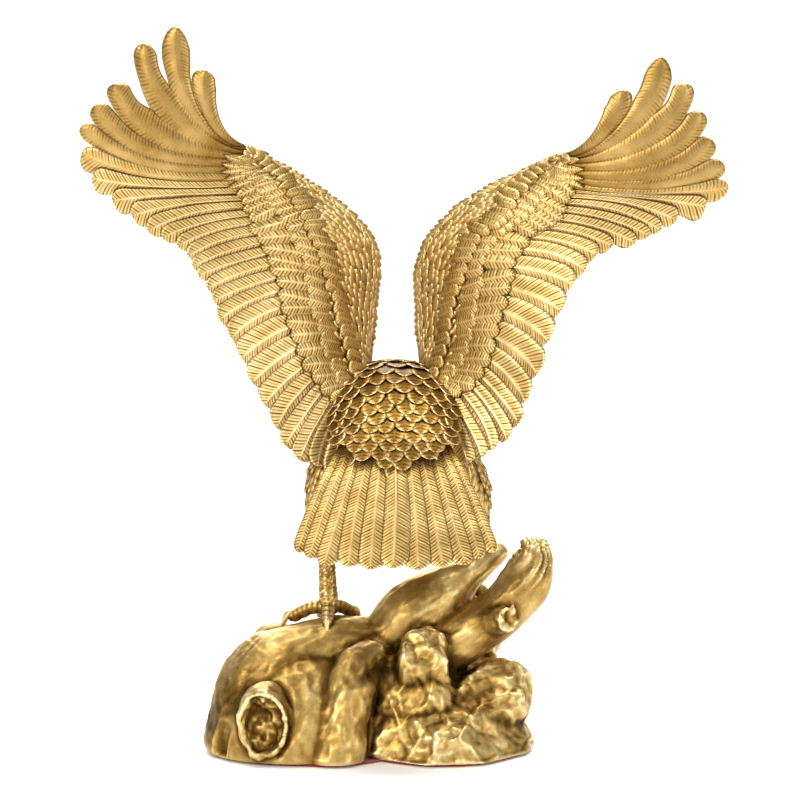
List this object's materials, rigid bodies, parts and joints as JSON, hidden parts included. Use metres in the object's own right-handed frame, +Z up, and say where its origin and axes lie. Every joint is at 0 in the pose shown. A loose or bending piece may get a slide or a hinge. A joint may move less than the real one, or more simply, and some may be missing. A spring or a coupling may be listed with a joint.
{
  "type": "eagle ornament",
  "caption": "Cast brass eagle with raised wings, alighting on a tree root that grows over rocks, on a felt pad.",
  "frame": {"origin": "on the underside of the felt, straight below the saddle between the wings", "axes": "+Z up, the eagle faces -Y and its tail is at +Y, its left wing at +X"},
  "size_m": [0.2937, 0.1596, 0.3397],
  "materials": {
    "bright_brass": "satin, worn bright on the high edges",
    "aged_brass": "satin, darker in the hollows",
    "red_felt": "thin felt"
  },
  "bodies": {
    "root": {"eagle": "bright_brass", "root_and_rock_base": "aged_brass", "felt_pad": "red_felt"}
  },
  "joints": []
}
